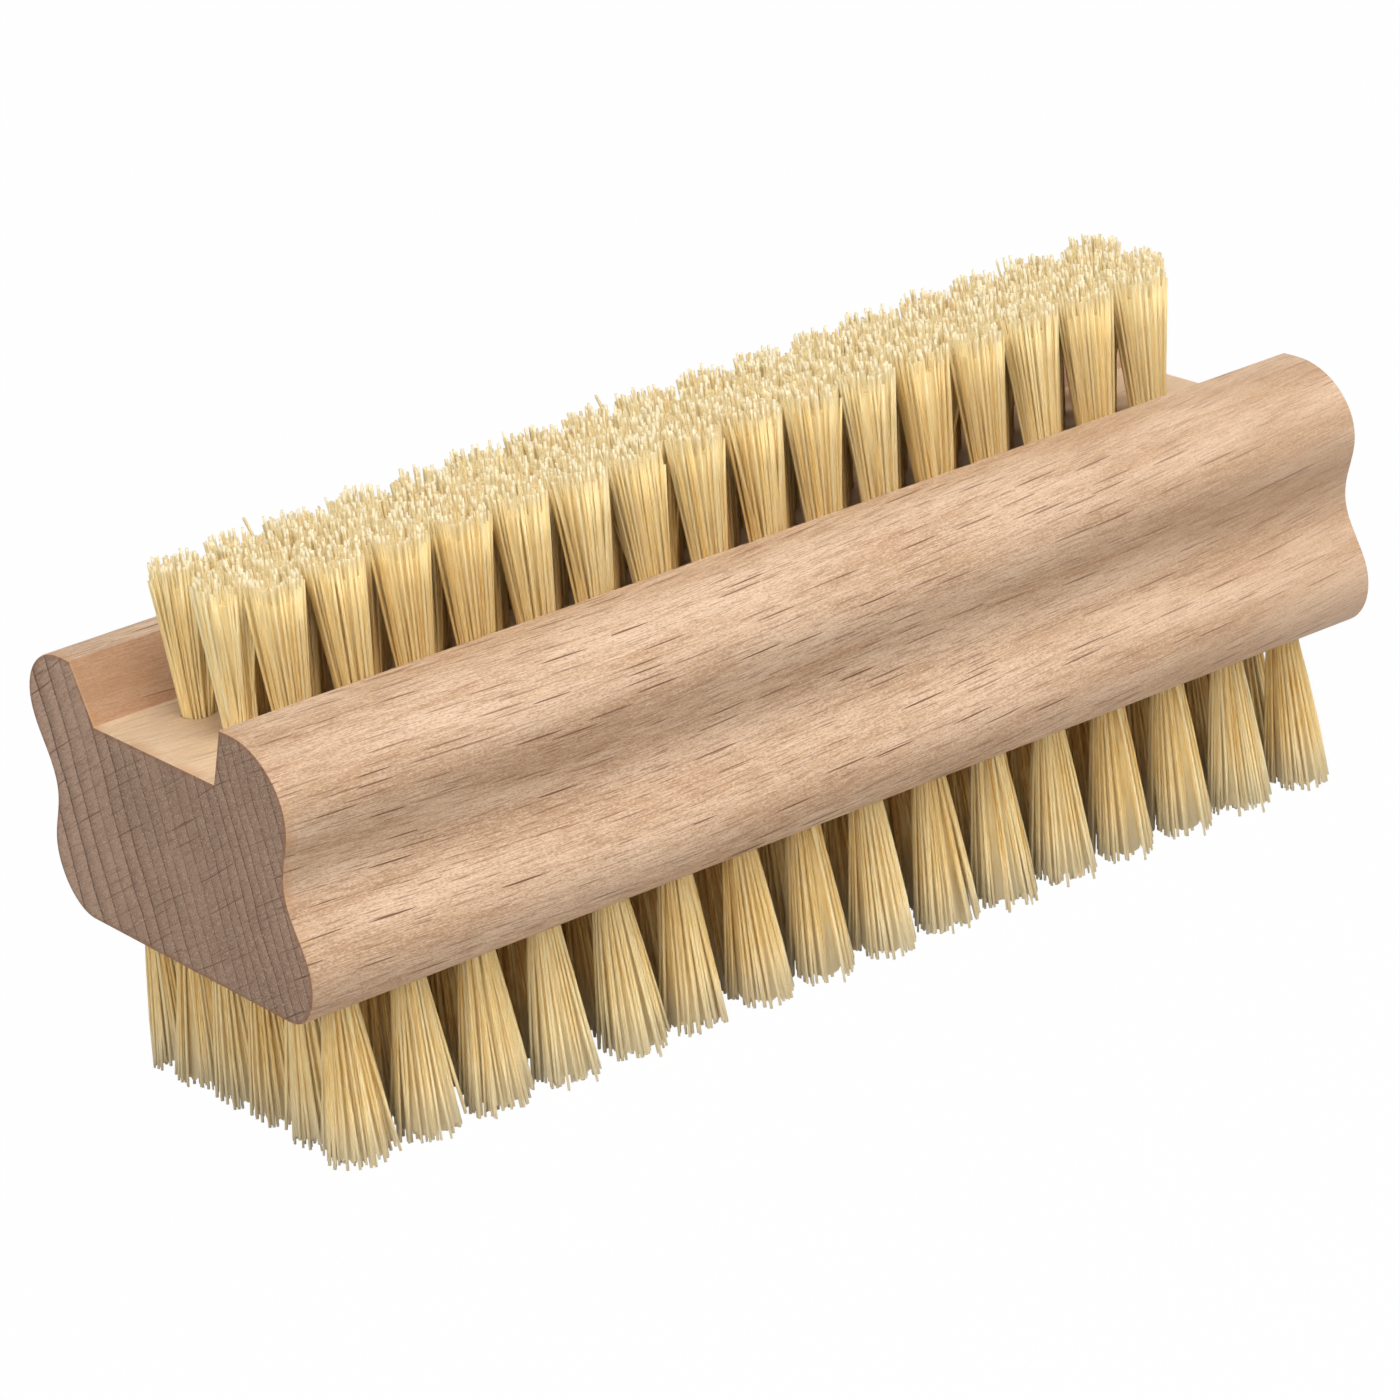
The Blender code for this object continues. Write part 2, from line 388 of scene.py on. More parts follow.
# %% [markdown]
# ## Beech across the grain
#
# The sawn ends drink light, so they are darker and greyer. The rings show as narrow dark lines,
# the rays cross them as fine lines in two sizes, and the edge is a little burnt by the saw.
# The mesh marks its rim with an attribute named rim, which the burn reads.

# %% Beech ends
END = {
    "darker patch": (0.34, 0.212, 0.14),
    "paler patch": (0.42, 0.265, 0.175),
    "far side": (0.54, 0.35, 0.245),
    "late wood": (0.20, 0.105, 0.057),
    "ring line": (0.105, 0.052, 0.028),
    "fibre": (0.17, 0.09, 0.05),
    "pale pore": (0.74, 0.58, 0.46),
    "dark pore": (0.17, 0.10, 0.07),
    "ray": (0.11, 0.055, 0.033),
    "burn": (0.28, 0.13, 0.065),
}
END_RAYS = (((10, 1.1, 1), (4.2, 0.06, 1), 0.95), ((5, 1.6, 1), (1.6, 0.05, 1), 0.4))
PALER_BETWEEN = (3.0, 15.0)
BURN_GRAIN = 0.6 * MM


def beech_ends():
    paint = Paint("beech_end_grain", 0.8)
    wood = place_in_wood(paint)
    pores = paint.clouds(paint.scaled(wood, (1, 0.11, 0.11)), detail=2.0)
    patches = paint.clouds(paint.scaled(wood, (30, 5, 5)), detail=2.0)
    across = paint.axis(paint.scaled(paint.place(), (MM, MM, MM)), "Y")
    year, strength = growth_rings(paint, 1.6)
    late = paint.between(year, 0.15, 0.97) * (1 - paint.between(year, 0.97, 1.0))
    line = paint.between(year, 0.82, 0.93) * (1 - paint.between(year, 0.965, 1.0))
    fibres = paint.clouds(paint.scaled(wood, (30, 1.6, 0.10)), detail=2.0)
    face = paint.axis(wood, "Y")
    flat = paint.node("ShaderNodeCombineXYZ", {}, {"X": face, "Y": face.output("Z")})
    torn = paint.clouds(paint.scaled(paint.place(), (BURN_GRAIN,) * 3), detail=2.0)
    burn = paint.between(paint.mark("rim") + (torn - 0.5) * 1.5, 0.45, 1.0)
    colour = paint.coats(END["darker patch"], (
        (paint.between(patches, 0.3, 0.7), END["paler patch"]),
        (paint.between(across, *PALER_BETWEEN) * 0.8, END["far side"]),
        (late * (strength * 0.40 + 0.22), END["late wood"]),
        (line * (strength * 0.5 + 0.45), END["ring line"]),
        (paint.between(fibres, 0.50, 0.68) * 0.42, END["fibre"]),
        (paint.between(pores, 0.52, 0.72) * 0.58, END["pale pore"]),
        ((1 - paint.between(pores, 0.26, 0.44)) * 0.45, END["dark pore"]),
        *((rays(paint, flat, *sizes, "2D") * 0.9, END["ray"]) for sizes in END_RAYS),
        (burn * 0.6, END["burn"]),
    ))
    paint.surface(Base_Color=colour, Normal=paint.bump(pores + late * 0.5, 0.07 * MM))
    return paint.material


BEECH_ENDS = beech_ends()
print("nodes in the end grain:", len(BEECH_ENDS.node_tree.nodes))

# %% [markdown]
# ## Turning a mesh into a piece
#
# Every new piece rides on the model's one body and takes the place of a CAD node, which is hidden.

# %% Helper for pieces


def finished(name, shape, materials, node):
    """The shape as a piece in place of a CAD node, which is hidden."""
    mesh = bpy.data.meshes.new(name)
    shape.to_mesh(mesh)
    shape.free()
    for look in materials:
        mesh.materials.append(look)
    piece = bpy.data.objects.new(name, mesh)
    bpy.context.scene.collection.objects.link(piece)
    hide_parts(node)
    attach(piece, "root")
    return piece


# %% [markdown]
# ## The moulded block
#
# A moulding machine gives the block one cross-section from end to end. Half of it is drawn as a
# chain of edges: spins make the two rounded shoulders, and a subdivided edge pushed in by a
# cosine makes the finger groove.

# %% Half of the cross-section
FLAT_HALF = 14.0 * MM
CREST_HALF = 12.2 * MM
CHANNEL_TOP_HALF = 10.7 * MM
CHANNEL_FLOOR_HALF = 8.6 * MM
LOWER_BULGE = UNDERSIDE + 4.4 * MM
WAIST = UNDERSIDE + 10.2 * MM
UPPER_BULGE = UNDERSIDE + 16.2 * MM
WAIST_DEPTH = 1.85 * MM
SHOULDER_STEPS = 14
GROOVE_CUTS = 20
TOUCHING = 0.002 * MM


def shoulder(shape, start, centre, width):
    """A quarter ellipse: a circle spun about X and then scaled in width."""
    before = set(shape.verts)
    vertex = shape.verts.new(start)
    bmesh.ops.spin(shape, geom=[vertex], cent=centre, axis=(1, 0, 0), angle=math.pi / 2,
                   steps=SHOULDER_STEPS)
    bmesh.ops.scale(shape, vec=(1, width / (start - centre).length, 1),
                    space=Matrix.Translation(-centre),
                    verts=[v for v in shape.verts if v not in before])


def groove_dip(height):
    """How far the side is pushed in at this height."""
    if height < WAIST:
        share = (height - LOWER_BULGE) / (WAIST - LOWER_BULGE)
    else:
        share = (UPPER_BULGE - height) / (UPPER_BULGE - WAIST)
    return WAIST_DEPTH * (1 - math.cos(math.pi * share)) / 2


def half_section():
    """The outline of the near end from its middle line outwards, as a chain of edges."""
    shape = bmesh.new()
    x = block_low.x
    shoulder(shape, Vector((x, FLAT_HALF, UNDERSIDE)), Vector((x, FLAT_HALF, LOWER_BULGE)),
             HALF_WIDTH - FLAT_HALF)
    shoulder(shape, Vector((x, CREST_HALF + CREST - UPPER_BULGE, UPPER_BULGE)),
             Vector((x, CREST_HALF, UPPER_BULGE)), HALF_WIDTH - CREST_HALF)
    side = [shape.verts.new((x, HALF_WIDTH, z)) for z in (LOWER_BULGE, UPPER_BULGE)]
    cut = bmesh.ops.subdivide_edges(shape, edges=[shape.edges.new(side)], cuts=GROOVE_CUTS)
    for item in cut["geom_inner"]:
        if isinstance(item, bmesh.types.BMVert):
            item.co.y -= groove_dip(item.co.z)
    under = [(0, UNDERSIDE), (FLAT_HALF, UNDERSIDE)]
    over = [(CREST_HALF, CREST), (CHANNEL_TOP_HALF, CREST), (CHANNEL_FLOOR_HALF, CHANNEL_FLOOR),
            (0, CHANNEL_FLOOR)]
    for line in (under, over):
        chain = [shape.verts.new((x, y, z)) for y, z in line]
        for pair in zip(chain, chain[1:]):
            shape.edges.new(pair)
    bmesh.ops.remove_doubles(shape, verts=shape.verts, dist=TOUCHING)
    return shape


print("half section:", len(half_section().verts), "points")

# %% [markdown]
# ## From the section to the block
#
# The half section is mirrored and filled, then pulled out to the length of the block. A very
# small bevel takes the sharpness off the sawn edges, and a rim is inset on each end for the burn.
# The saw tears an end's edge a little, so its corners move in by small random steps. Last, the
# holes are cut with a Boolean, all at once.

# %% Block
ARRIS = 0.16 * MM
RIM = 0.55 * MM
TORN = 0.25 * MM
TOP_HOLE = 1.3 * MM
BOTTOM_HOLE = 1.2 * MM
HOLE_DEPTH = 6.9 * MM
SECTION_CORNERS = 40


def moulding():
    """The block before drilling."""
    shape = half_section()
    bmesh.ops.mirror(shape, geom=shape.verts[:] + shape.edges[:], axis="Y", merge_dist=TOUCHING)
    bmesh.ops.remove_doubles(shape, verts=shape.verts, dist=TOUCHING)
    end = bmesh.ops.contextual_create(shape, geom=shape.edges[:])["faces"]
    pulled = bmesh.ops.extrude_face_region(shape, geom=end)["geom"]
    bmesh.ops.translate(shape, vec=(BLOCK_LENGTH, 0, 0),
                        verts=[item for item in pulled if isinstance(item, bmesh.types.BMVert)])
    bmesh.ops.recalc_face_normals(shape, faces=shape.faces)
    around = [e for e in shape.edges if abs(e.verts[0].co.x - e.verts[1].co.x) < MM]
    bmesh.ops.bevel(shape, geom=around, offset=ARRIS, segments=2, profile=0.5, material=-1,
                    affect="EDGES")
    ends = [f for f in shape.faces if len(f.verts) > SECTION_CORNERS]
    edges = {vertex for face in ends for vertex in face.verts}
    bmesh.ops.inset_region(shape, faces=ends, thickness=RIM, use_even_offset=True)
    dice = random.Random(5)
    middle = Vector((0, 0, (UNDERSIDE + CREST) / 2))
    for vertex in sorted(edges, key=lambda v: tuple(v.co)):
        inwards = middle - vertex.co
        inwards.x = 0.0
        vertex.co += inwards.normalized() * dice.uniform(0.0, TORN) ** 2 / TORN
    return shape


print("holes:", round(HOLE_DEPTH / MM, 2), "mm deep")

# %% [markdown]
# ## Rows and places
#
# The tufts stand where the CAD rows stand, on a grid of lines that are the same distance apart.
# The box of a CAD row says which line is its own, and the pitch gives the places along it. On top
# every second row has one tuft more, so its tufts stand between those of its neighbours.

# %% Places of the tufts
TOP_SPACING = 3.1 * MM
TOP_PITCH = 5.13 * MM
BOTTOM_SPACING = 5.71 * MM
BOTTOM_PITCH = 5.1 * MM
ALONG, ACROSS = 0, 1


def nearest_line(value, spacing):
    """The nearest line of a grid whose middle is half way between two lines."""
    return round(value / spacing - 0.5) * spacing + spacing / 2


def row_places(node, way, spacing, pitch, count, mouth):
    """Places at this pitch on a CAD row's line, which runs along or across the block."""
    low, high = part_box(node)
    middle, reach = Vector((0, 0, mouth)), Vector((0, 0, 0))
    middle[1 - way] = nearest_line((low[1 - way] + high[1 - way]) / 2, spacing)
    reach[way] = pitch * (count - 1) / 2
    first, last = middle - reach, middle + reach
    return [first.lerp(last, index / (count - 1)) for index in range(count)]


ROWS = {}
for n in range(1, 5):
    name = f"top_tuft_row_{n}"
    ROWS[name] = row_places(name, ALONG, TOP_SPACING, TOP_PITCH, 16 if n % 2 else 17, CHANNEL_FLOOR)
for n in range(1, 17):
    name = f"bottom_tuft_row_{n:02d}"
    ROWS[name] = row_places(name, ACROSS, BOTTOM_SPACING, BOTTOM_PITCH, 6, UNDERSIDE)
print("tufts:", sum(len(places) for places in ROWS.values()))

# %% Drill the holes
SHARP = math.radians(25)
RIM_CORNERS = 8


def drilled(shape, rows):
    """The block with a blind hole under every tuft."""
    bits = bmesh.new()
    for name, places in rows.items():
        top = name.startswith("top")
        radius = TOP_HOLE if top else BOTTOM_HOLE
        for place in places:
            middle = place + Vector((0, 0, (1 if top else -1) * (MM - HOLE_DEPTH) / 2))
            bmesh.ops.create_cone(bits, cap_ends=True, segments=16, depth=HOLE_DEPTH + MM,
                                  radius1=radius, radius2=radius,
                                  matrix=Matrix.Translation(middle))
    solids = []
    for name, part in (("blank", shape), ("bits", bits)):
        mesh = bpy.data.meshes.new(name)
        part.to_mesh(mesh)
        part.free()
        solids.append(bpy.data.objects.new(name, mesh))
        bpy.context.scene.collection.objects.link(solids[-1])
    blank, cutter = solids
    step = blank.modifiers.new("drill", "BOOLEAN")
    step.solver = "EXACT"
    step.object = cutter
    cut = bmesh.new()
    cut.from_object(blank, bpy.context.evaluated_depsgraph_get())
    for solid in solids:
        bpy.data.objects.remove(solid, do_unlink=True)
    return cut


def dressed_block():
    """The drilled block, with its sawn ends marked, and its channel marked for painted shade on the
    walls and painted light on the floor.
    """
    shape = drilled(moulding(), ROWS)
    rim = shape.verts.layers.float.new("rim")
    painted_channel = {way: shape.loops.layers.float.new(way) for way in ("milled_wall", "milled_floor")}
    for edge in shape.edges:
        edge.smooth = len(edge.link_faces) == 2 and edge.calc_face_angle(0) < SHARP
    for face in shape.faces:
        middle = face.calc_center_median()
        face.smooth = True
        sawn = abs(face.normal.x) > 0.5 and abs(middle.x) > BLOCK_LENGTH / 2 - MM
        face.material_index = int(sawn)
        # the channel's faces are marked for painted shade on the walls and painted light on the floor
        in_channel = CHANNEL_FLOOR - HOLE_DEPTH < middle.z < CREST - ARRIS
        if in_channel and abs(middle.y) < CHANNEL_TOP_HALF:
            mark = painted_channel["milled_floor" if face.normal.z > 0.9 else "milled_wall"]
            for corner in face.loops:
                corner[mark] = 1.0
    ends = [face for face in shape.faces if face.material_index]
    for face in sorted(ends, key=lambda face: len(face.verts) > RIM_CORNERS):
        for vertex in face.verts:
            vertex[rim] = float(len(face.verts) <= RIM_CORNERS)
    return shape


block = finished("moulded_block", dressed_block(), [BEECH_SIDES, BEECH_ENDS], "beech_block")
print("block:", len(block.data.polygons), "faces")

# %% [markdown]
# ## Plant fibre
#
# Each fibre has its own shade, from honey to nearly white, so the mesh carries a tone for every
# fibre and how far along it a point lies. Towards its tip a fibre takes another colour, which is
# painted light: darker on top, where the key lamp falls on the tips, and paler below, where little
# light reaches them. The cut tips of the longest fibres carry a pale painted highlight. The two
# brushes have two finishes of one fibre, each painted for its light: the bottom one is darker in
# its deep shades and paler in its light ones. A little light goes through both.

# %% Fibre material
SHADE_STOPS = (0.0, 0.30, 0.65, 1.0)
# painted highlight: the pale colour laid on the cut tips of the longest fibres, and where along a
# fibre it starts
CUT_HIGHLIGHT = (0.93, 0.85, 0.64)
CUT_HIGHLIGHT_BETWEEN = (0.975, 1.005)


def plant_fibre(name, shades, tip_from, tip_painted_light):
    """A fibre in four shades, whose last part takes a tip colour with painted light in it, and whose
    cut tips take a painted highlight.
    """
    paint = Paint(name, 0.5)
    place, reach = paint.place(), paint.mark("reach")
    streak = paint.clouds(paint.scaled(place, (0.5 * MM, 0.5 * MM, 3 * MM)), detail=2.0)
    fine = paint.clouds(paint.scaled(place, (0.13 * MM, 0.13 * MM, 2.5 * MM)), detail=1.0)
    shade = paint.mark("tone") + (streak - 0.5) * 0.20 + (fine - 0.5) * 0.62
    colour = paint.node("ShaderNodeValToRGB", {"stops": list(zip(SHADE_STOPS, shades))}, {0: shade})
    colour = paint.coats(colour, (
        # painted light: the tip colour, darker on top and paler below
        (paint.between(reach, tip_from, 1.0) * 0.60, tip_painted_light),
        # painted highlight on the cut tips
        (paint.between(reach, *CUT_HIGHLIGHT_BETWEEN) * 0.55, CUT_HIGHLIGHT),
    ))
    paint.surface(Base_Color=colour, Roughness=0.45 + streak * 0.2, Specular_IOR_Level=0.3,
                  Normal=paint.bump(fine, 0.05 * MM), Subsurface_Weight=0.5,
                  Subsurface_Scale=0.35 * MM)
    paint.shader.subsurface_method = "BURLEY"
    paint.shader.inputs["Subsurface Radius"].default_value = (1.0, 1.0, 1.0)
    return paint.material


# The finishes carry painted light: the top tips are painted darker under the key lamp, and the bottom
# finish is painted darker in its deep shades and paler in its light shades and tips.
TOP_FIBRE = plant_fibre(
    "plant_fibre_top",
    [(0.66, 0.40, 0.12), (0.80, 0.58, 0.24), (0.83, 0.68, 0.36), (0.84, 0.76, 0.51)],
    0.85, (0.56, 0.44, 0.25))
BOTTOM_FIBRE = plant_fibre(
    "plant_fibre_bottom",
    [(0.58, 0.32, 0.072), (0.80, 0.57, 0.23), (0.89, 0.75, 0.43), (0.94, 0.88, 0.64)],
    0.55, (0.98, 0.86, 0.61))
print("fibre materials:", TOP_FIBRE.name, BOTTOM_FIBRE.name)

# %% [markdown]
# ## One fibre, folded in two
#
# A tuft is a bundle of fibres folded over its anchor and pushed into the hole, so every fibre has
# two legs. A small diamond is extruded from point to point: down one leg, round under the
# anchor, and up the other leg.

# %% One fibre
TIP_TAPER = 0.9


def draw_fibre(shape, points, radius, tone, length):
    """A closed strand through these points, with its tone and its reach marked."""
    tone_mark = shape.verts.layers.float["tone"]
    reach_mark = shape.verts.layers.float["reach"]
    ways = [(points[min(i + 1, len(points) - 1)] - points[max(i - 1, 0)]).normalized()
            for i in range(len(points))]
    heading = Vector((0, 0, 1)).rotation_difference(ways[0])
    widths = [TIP_TAPER] + [1.0] * (len(points) - 2) + [TIP_TAPER]
    here = Matrix.LocRotScale(points[0], heading, Vector((radius * widths[0],) * 3))
    face = bmesh.ops.create_circle(shape, cap_ends=True, segments=4, radius=1.0,
                                   matrix=here)["verts"][0].link_faces[0]
    for index, point in enumerate(points):
        if index:
            heading = ways[index - 1].rotation_difference(ways[index]) @ heading
            there = Matrix.LocRotScale(point, heading, Vector((radius * widths[index],) * 3))
            pulled = bmesh.ops.extrude_face_region(shape, geom=[face, *face.edges])["geom"]
            face = next(item for item in pulled if isinstance(item, bmesh.types.BMFace))
            bmesh.ops.transform(shape, matrix=there @ here.inverted(), verts=face.verts)
            here = there
        for vertex in face.verts:
            vertex[tone_mark] = tone
            vertex[reach_mark] = max(0.0, point.z / length)


# %% [markdown]
# ## A tuft
#
# The fibres fan out from the hole and cling together in small locks. The anchor lies along the
# row, so one leg of each fibre passes it on each side. A few fibres stray. Nobody sees the middle
# of a tuft, so one ribbed body stands in for the fibres that are packed there.

# %% A tuft
GOLDEN_ANGLE = math.pi * (3 - math.sqrt(5))
CROWDING = 0.42
WILD_SHARE = 0.04
WILDNESS = 5.0
STRAYING = 18.0
SCATTER_MM = 0.13
BOW_MM = 0.10
BACK_SHIFT_MM = 0.15
BENDS_AT = (0.70, 0.33)
LOCK_COUNT = 11
LOCK_PULL = 0.25
TRIM_MEAN, TRIM_SPREAD = -0.30 * MM, 0.36 * MM
MOUTH_DEPTH = 0.1 * MM
HOLE_SQUEEZE = 0.85
WIRE_CLEARANCE = 0.31 * MM
BESIDE_WIRE, BELOW_WIRE, FOLD = -4.4 * MM, -5.9 * MM, 6.25 * MM
THINNEST_MM, THICKEST_MM = 0.105, 0.145
FIBRE_TONE, TONE_SPREAD = 0.60, 0.09
CORE_SHARE = 0.80
CORE_TONE = 0.50
CORE_RIBS = (-0.10, 0.06)
CORE_TOP_MM = (-0.4, 0.15)


def leg(neck, side, brush, locks, dice):
    """Points from the tip of a leg down to beside the anchor."""
    chance = dice.random()
    wild = chance < WILD_SHARE
    spread_out = STRAYING if chance < brush["stray"] else WILDNESS if wild else 1.0
    off = Vector((dice.gauss(0, SCATTER_MM), dice.gauss(0, SCATTER_MM), 0)) * MM * spread_out
    tip = Vector((neck.x, neck.y, 0)) * brush["splay"]
    lock = min(locks, key=lambda middle: (middle - tip).length)
    tip = tip.lerp(lock, 0.0 if wild else LOCK_PULL) + off + Vector((0, 0, brush["length"]))
    tip.z += min(brush["overshoot"], dice.gauss(TRIM_MEAN, TRIM_SPREAD))
    bow = Vector((dice.uniform(-BOW_MM, BOW_MM), dice.uniform(-BOW_MM, BOW_MM), 0)) * MM
    beside = side * (WIRE_CLEARANCE + abs(neck.y) * 0.55)
    foot = neck + Vector((0, 0, -MOUTH_DEPTH))
    return [tip, *(foot.lerp(tip, share) + bow for share in BENDS_AT), foot,
            *(Vector((neck.x * HOLE_SQUEEZE, beside, depth)) for depth in (BESIDE_WIRE, BELOW_WIRE))]


def sunflower(count, radius):
    """Places in a circle, a little closer together towards its rim."""
    return [Vector((math.cos(i * GOLDEN_ANGLE), math.sin(i * GOLDEN_ANGLE), 0))
            * radius * ((i + 0.5) / count) ** CROWDING for i in range(count)]


def draw_core(shape, brush, dice):
    """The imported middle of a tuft, as one ribbed body that ends below the tips."""
    tone_mark = shape.verts.layers.float["tone"]
    reach_mark = shape.verts.layers.float["reach"]
    low, high = -MM, brush["length"] * brush["core"]
    thin = brush["neck"] * CORE_SHARE
    wide = thin * (1 + (brush["splay"] - 1) * brush["core"])
    made = bmesh.ops.create_cone(shape, cap_ends=True, segments=24, depth=high - low,
                                 radius1=thin, radius2=wide,
                                 matrix=Matrix.Translation((0, 0, (high + low) / 2)))["verts"]
    for vertex in made:
        out = Vector((vertex.co.x, vertex.co.y, 0))
        vertex.co += out * dice.uniform(*CORE_RIBS)
        if vertex.co.z > 0:
            vertex.co.z += dice.uniform(*CORE_TOP_MM) * MM
        vertex[tone_mark] = CORE_TONE
        vertex[reach_mark] = max(0.0, vertex.co.z / brush["length"])


def make_tuft(brush, seed):
    """A tuft about the origin, as a mesh for many places."""
    dice = random.Random(seed)
    shape = bmesh.new()
    for mark in ("tone", "reach"):
        shape.verts.layers.float.new(mark)
    draw_core(shape, brush, dice)
    turn = Matrix.Rotation(dice.uniform(0, math.tau), 4, "Z")
    locks = [turn @ place for place in sunflower(LOCK_COUNT, brush["neck"] * brush["splay"])]
    for front in sunflower(brush["legs"], brush["neck"]):
        if front.y <= 0:
            continue
        back = Vector((front.x + dice.uniform(-BACK_SHIFT_MM, BACK_SHIFT_MM) * MM, -front.y, 0))
        down = leg(front, 1, brush, locks, dice)
        up = leg(back, -1, brush, locks, dice)
        fold = [Vector((side[-1].x, side[-1].y * 0.5, -(FOLD + abs(side[-1].y) * 0.3)))
                for side in (down, up)]
        draw_fibre(shape, down + fold + up[::-1], dice.uniform(THINNEST_MM, THICKEST_MM) * MM,
                   dice.gauss(FIBRE_TONE, TONE_SPREAD), brush["length"])
    bmesh.ops.recalc_face_normals(shape, faces=shape.faces)
    for face in shape.faces:
        face.smooth = any(edge.calc_face_angle() < 1.0 for edge in face.edges)
    mesh = bpy.data.meshes.new("tuft")
    shape.to_mesh(mesh)
    shape.free()
    return mesh


TOP_BRUSH = {"legs": 118, "neck": 1.20 * MM, "splay": 1.92, "length": TOP_LENGTH, "core": 0.88,
             "stray": 0.004, "overshoot": 0.30 * MM}
BOTTOM_BRUSH = {"legs": 118, "neck": 1.12 * MM, "splay": 2.35, "length": BOTTOM_LENGTH,
                "core": 0.95, "stray": 0.0, "overshoot": 0.0}
for brush, first_seed in ((TOP_BRUSH, 0), (BOTTOM_BRUSH, 40)):
    brush["tufts"] = [make_tuft(brush, first_seed + seed) for seed in range(8)]
print("faces in one tuft:", len(TOP_BRUSH["tufts"][0].polygons))

# %% [markdown]
# ## Rows of tufts
#
# A few different tufts are enough. Each place takes one of them, turned half round or not,
# leaning a little its own way and a little paler or darker than its neighbours. A tuft carries
# painted shade at its root, most of all inside the brush, where little light gets in. The tufts
# near the ends of the block lean outwards, but the near ones on top lean in. The top brush is
# trimmed slightly longer towards its far end.

# %% Rows of tufts
# The pair for the root darkens a tuft's tone at its root as painted shade, at the rim of the brush and
# inside it.
TOP_BRUSH |= {"fibre": TOP_FIBRE, "stand": Matrix.Identity(4), "slope": 0.043,
              "end_lean": (-0.03, 0.024), "root_shade": (0.12, 0.12), "inner_half": 2 * MM}
BOTTOM_BRUSH |= {"fibre": BOTTOM_FIBRE, "slope": 0.0,
                 "stand": Matrix.Rotation(math.pi / 2, 4, "Z") @ Matrix.Rotation(math.pi, 4, "X"),
                 "end_lean": (-0.024, -0.024), "root_shade": (0.20, 0.50), "inner_half": 10 * MM}
INNER_LENGTH = 38 * MM
OWN_LEAN = 0.012
OWN_SHADE = 0.05


def make_row(name, places, dice):
    """All tufts of one CAD row, as one piece."""
    brush = TOP_BRUSH if name.startswith("top") else BOTTOM_BRUSH
    shape = bmesh.new()
    for mark in ("tone", "reach"):
        shape.verts.layers.float.new(mark)
    tone_mark = shape.verts.layers.float["tone"]
    reach_mark = shape.verts.layers.float["reach"]
    for place in places:
        start = len(shape.verts)
        shape.from_mesh(dice.choice(brush["tufts"]))
        shape.verts.ensure_lookup_table()
        fresh = shape.verts[start:]
        end_lean = brush["end_lean"][place.x >= 0] * (place.x / (BLOCK_LENGTH / 2)) ** 5
        own_lean = Matrix.Shear("XY", 4, (dice.gauss(0, OWN_LEAN), dice.gauss(0, OWN_LEAN)))
        tall = 1.0 + brush["slope"] * place.x / (BLOCK_LENGTH / 2)
        half_turn = Matrix.Rotation(math.pi * dice.randrange(2), 4, "Z")
        where = (Matrix.Translation(place) @ Matrix.Shear("XY", 4, (end_lean, 0.0))
                 @ brush["stand"] @ own_lean @ half_turn @ Matrix.Diagonal((1, 1, tall, 1)))
        bmesh.ops.transform(shape, matrix=where, verts=fresh)
        own_shade = dice.gauss(0, OWN_SHADE)
        inner = abs(place.x) < INNER_LENGTH and abs(place.y) < brush["inner_half"]
        root_shade = brush["root_shade"][inner]
        # painted shade: the tone is darkened towards the root, most of all inside the brush
        for vertex in fresh:
            darker = root_shade * (1 - vertex[reach_mark] ** 2)
            vertex[tone_mark] = min(1.0, max(0.0, vertex[tone_mark] + own_shade - darker))
    return finished(name.replace("tuft_row", "fibres_row"), shape, [brush["fibre"]], name)


dice = random.Random(3)
rows_made = [make_row(name, places, dice) for name, places in ROWS.items()]
for mesh in TOP_BRUSH["tufts"] + BOTTOM_BRUSH["tufts"]:
    bpy.data.meshes.remove(mesh)
print("rows:", len(rows_made), "faces:", sum(len(row.data.polygons) for row in rows_made))

# %% [markdown]
# ## Anchors
#
# The flat wires inside the block keep their CAD shape and get a drawn-steel finish.

# %% Anchor steel


def drawn_steel():
    paint = Paint("drawn_steel", 0.35)
    scratches = paint.clouds(paint.scaled(paint.place(), (4 * MM, 4 * MM, 0.1 * MM)), detail=2.0)
    paint.surface(Base_Color=paint.blend(scratches, (0.55, 0.55, 0.54), (0.68, 0.68, 0.66)),
                  Metallic=1.0, Roughness=0.28 + scratches * 0.16)
    return paint.material


STEEL = drawn_steel()
anchors = [thing for name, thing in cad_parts.items() if "anchor_wire" in name]
for anchor in anchors:
    anchor.data.materials.clear()
    anchor.data.materials.append(STEEL)
print("anchors:", len(anchors))

# %% [markdown]
# ## Floor, white surroundings and light
#
# The photograph has a pure white ground. The floor is white for the camera and for mirror and
# glass rays, but for a trace of shadow, and grey for the light that bounces off it, so no extra
# light has to fall on the brush to make the ground white.

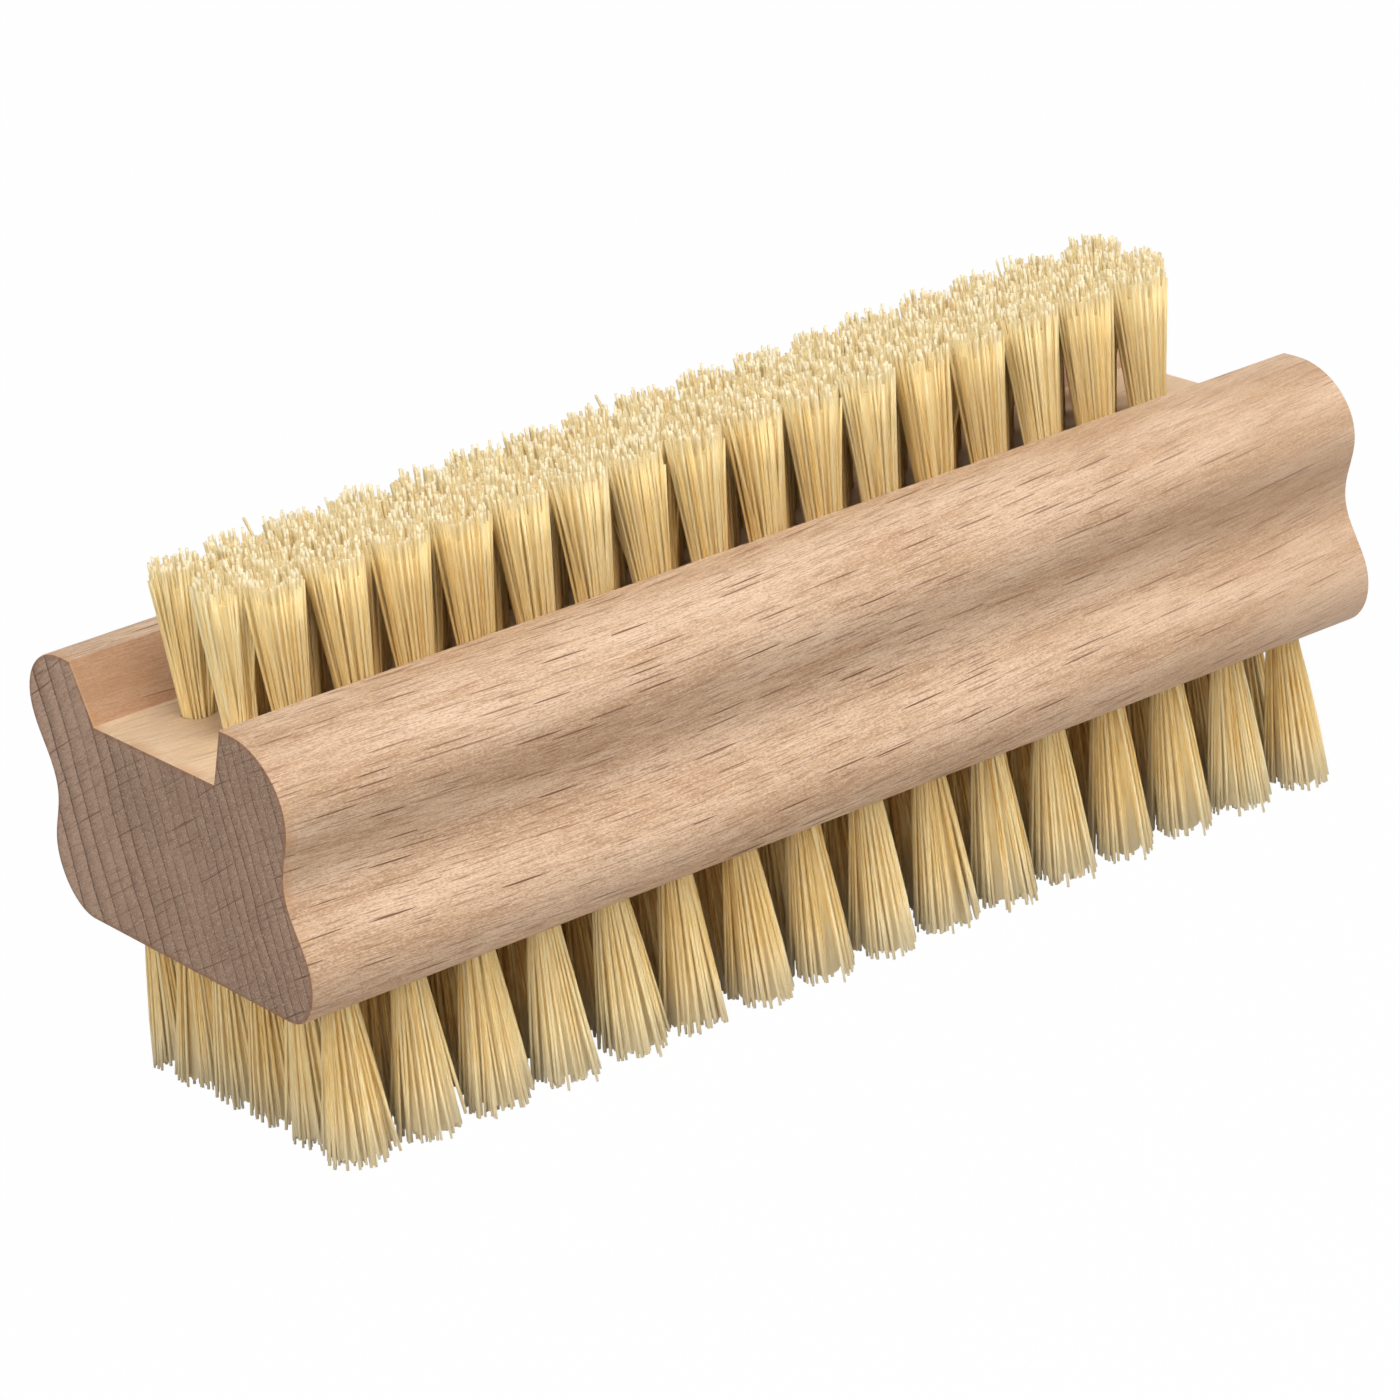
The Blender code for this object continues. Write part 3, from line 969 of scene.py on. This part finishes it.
# %% Floor and world
SHADOW_SHARE = 0.012
AMBIENT = 0.22
FLOOR_GREY = (0.55, 0.55, 0.55)
WHITE = (1.0, 1.0, 1.0)
FLOOR_GAP = 0.05 * MM


def white_ground():
    paint = Paint("white_ground", 0.9)
    paint.surface(Base_Color=FLOOR_GREY, Specular_IOR_Level=0.0)
    glow = paint.node("ShaderNodeEmission", {}, {"Color": WHITE, "Strength": 1.0})
    lit = Wire(paint, paint.shader.outputs[0])
    mixed = paint.node("ShaderNodeMixShader", {},
                       {0: paint.seen_white() * (1 - SHADOW_SHARE), 1: lit, 2: glow})
    paint.feed(paint.tree.nodes["Material Output"].inputs["Surface"], mixed)
    return paint.material


ground = bmesh.new()
bmesh.ops.create_grid(ground, x_segments=2, y_segments=2, size=3.0,
                      matrix=Matrix.Translation((0, 0, -FLOOR_GAP)))
floor_mesh = bpy.data.meshes.new("floor")
ground.to_mesh(floor_mesh)
ground.free()
floor_mesh.materials.append(white_ground())
floor = bpy.data.objects.new("floor", floor_mesh)
bpy.context.scene.collection.objects.link(floor)

world = bpy.data.worlds.new("studio")
bpy.context.scene.world = world
world.use_nodes = True
sky = Nodes(world.node_tree)
backdrop = sky.tree.nodes["Background"]
sky.feed(backdrop.inputs["Color"], WHITE)
sky.feed(backdrop.inputs["Strength"], AMBIENT + sky.seen_white() * (1 - AMBIENT))
print("floor and world ready")

# %% Lamps
AIM = Vector((0, 0, 0.02))


def soft_box(name, place, size, power):
    lamp = bpy.data.lights.new(name, "AREA")
    lamp.size = size
    lamp.energy = power
    thing = bpy.data.objects.new(name, lamp)
    thing.location = place
    thing.rotation_euler = (AIM - Vector(place)).to_track_quat("-Z", "Y").to_euler()
    bpy.context.scene.collection.objects.link(thing)


soft_box("key", (-0.02, -0.28, 0.68), 0.35, 2.9)
soft_box("far_fill", (0.60, -0.45, 0.38), 0.5, 2.6)
soft_box("near_fill", (-0.55, -0.40, 0.34), 0.5, 2.3)
bpy.context.scene.view_settings.view_transform = "Standard"
print("lamps ready")
